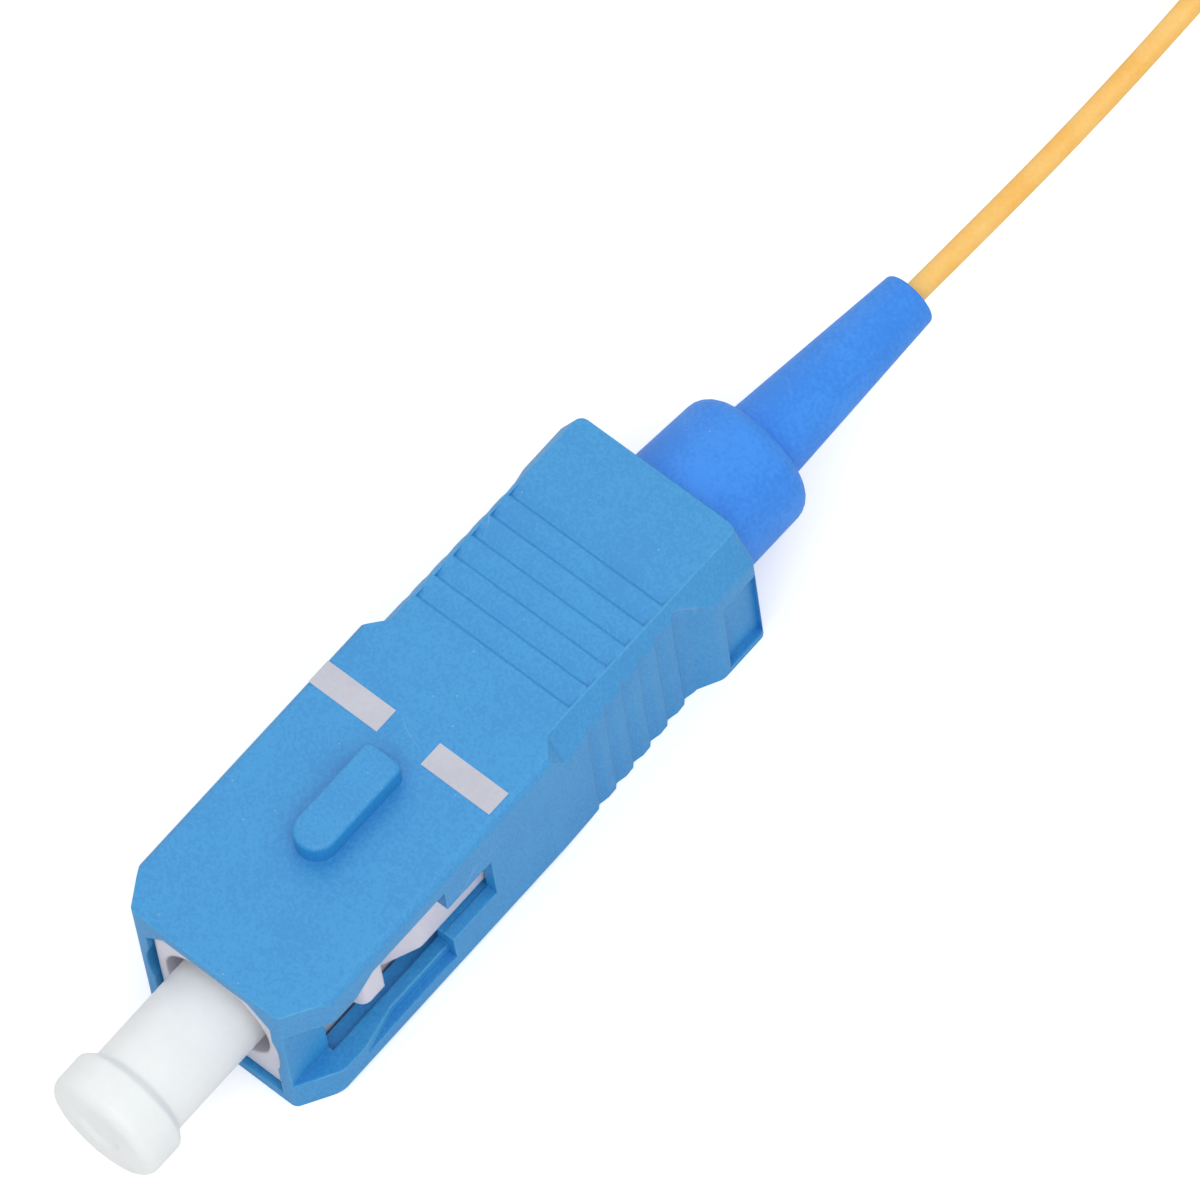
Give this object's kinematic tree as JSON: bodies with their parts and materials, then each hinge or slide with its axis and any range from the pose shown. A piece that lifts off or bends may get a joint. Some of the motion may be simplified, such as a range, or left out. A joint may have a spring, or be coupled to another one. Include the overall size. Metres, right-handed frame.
{
  "type": "sc fibre connector",
  "caption": "Push-pull fibre optic connector with a rectangular sliding housing, latching plug frame, ceramic ferrule, dust cap, tapered strain relief and a wound pigtail lead.",
  "frame": {"origin": "centre of the housing's nose plane, on the ferrule's axis", "axes": "-Y is the mating direction, +Y runs back along the boot and lead, +Z is the key's side, the housing's underside faces -Z"},
  "size_m": [0.0173, 0.0777, 0.0084],
  "materials": {
    "housing_plastic": "fine satin moulded plastic, sky blue",
    "printed_mark": "flat pale printed ink",
    "frame_plastic": "satin off-white moulded plastic",
    "ceramic": "polished white zirconia",
    "flange_metal": "turned stainless steel",
    "tube_plastic": "smooth natural tubing",
    "glass_fibre": "polished glass",
    "fibre_jacket": "satin orange-yellow buffer",
    "spring_steel": "drawn stainless wire",
    "stop_metal": "nickel-plated turned brass",
    "boot_rubber": "matt soft moulding, deep blue",
    "cap_plastic": "milky translucent soft plastic",
    "clear_tie": "thin clear band"
  },
  "bodies": {
    "plug_body": {"plug_frame": "frame_plastic", "stop_ring": "stop_metal", "boot": "boot_rubber", "spring": "spring_steel", "fibre_lead": "fibre_jacket", "fibre_coil": "fibre_jacket", "coil_tie": "clear_tie"},
    "housing": {"outer_housing": "housing_plastic", "position_mark_left": "printed_mark", "position_mark_right": "printed_mark"},
    "ferrule_assembly": {"ferrule": "ceramic", "ferrule_flange": "flange_metal", "guide_tube": "tube_plastic", "glass_fibre": "glass_fibre", "inner_fibre": "fibre_jacket"},
    "cap": {"dust_cap": "cap_plastic"}
  },
  "joints": [
    {"name": "housing_release", "type": "slide", "parent": "plug_body", "child": "housing", "axis": [0, 1, 0], "range_m": [0, 0.0012]},
    {"name": "ferrule_float", "type": "slide", "parent": "plug_body", "child": "ferrule_assembly", "axis": [0, 1, 0], "range_m": [0, 0.0012], "stiffness_N_per_m": 1000, "deforming": ["spring"]},
    {"name": "cap_pull", "type": "slide", "parent": "ferrule_assembly", "child": "cap", "axis": [0, -1, 0], "range_m": [0, 0.01]}
  ]
}
